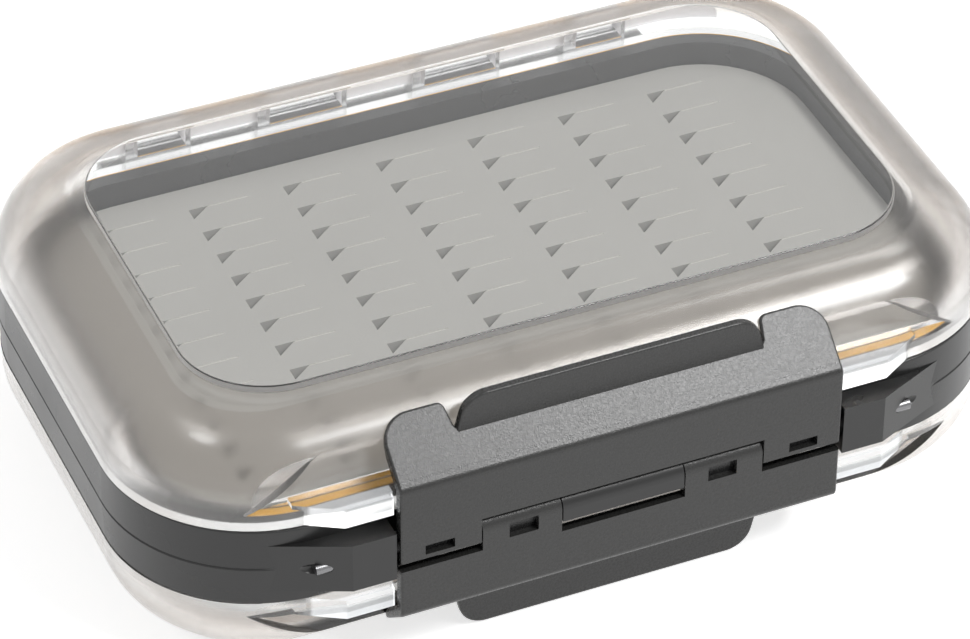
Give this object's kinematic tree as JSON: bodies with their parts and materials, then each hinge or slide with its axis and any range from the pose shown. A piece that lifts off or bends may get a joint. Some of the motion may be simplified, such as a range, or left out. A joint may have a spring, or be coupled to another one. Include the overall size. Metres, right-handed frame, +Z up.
{
  "type": "fly box",
  "caption": "Double-sided waterproof fly box: black frame with slit foam on both sides, clear domed lids, seals and interlocking finger latches.",
  "frame": {"origin": "bottom centre of the closed box, on the outer face of the lower lid's window", "axes": "+X along the box, -Y towards the latches, +Y towards the hinges, +Z up through the upper lid"},
  "size_m": [0.15, 0.1054, 0.0468],
  "materials": {
    "clear": "clear, polished",
    "black": "semi-gloss, smooth",
    "latch_grey": "fine matt texture",
    "seal_yellow": "smooth, soft",
    "foam_grey": "closed-cell foam, matt",
    "steel": "drawn wire"
  },
  "bodies": {
    "frame": {"frame_upper_half": "black", "frame_lower_half": "black", "seal_upper": "seal_yellow", "seal_lower": "seal_yellow", "foam_upper": "foam_grey", "foam_lower": "foam_grey", "latch_pin_left": "steel", "latch_pin_right": "steel", "hinge_pin_upper_left": "steel", "hinge_pin_upper_right": "steel", "hinge_pin_lower_left": "steel", "hinge_pin_lower_right": "steel"},
    "upper_lid": {"lid_upper": "clear"},
    "lower_lid": {"lid_lower": "clear"},
    "upper_latch": {"latch_upper": "latch_grey"},
    "lower_latch": {"latch_lower": "latch_grey"}
  },
  "joints": [
    {"name": "upper_lid_hinge", "type": "hinge", "parent": "frame", "child": "upper_lid", "pos_m": [0, 0.0503, 0.0276], "axis": [-1, 0, 0], "range_deg": [0, 120]},
    {"name": "lower_lid_hinge", "type": "hinge", "parent": "frame", "child": "lower_lid", "pos_m": [0, 0.0503, 0.0192], "axis": [1, 0, 0], "range_deg": [0, 120]},
    {"name": "upper_latch_hinge", "type": "hinge", "parent": "frame", "child": "upper_latch", "pos_m": [0, -0.0503, 0.0234], "axis": [1, 0, 0], "range_deg": [0, 45]},
    {"name": "lower_latch_hinge", "type": "hinge", "parent": "frame", "child": "lower_latch", "pos_m": [0, -0.0503, 0.0234], "axis": [-1, 0, 0], "range_deg": [0, 45]}
  ]
}
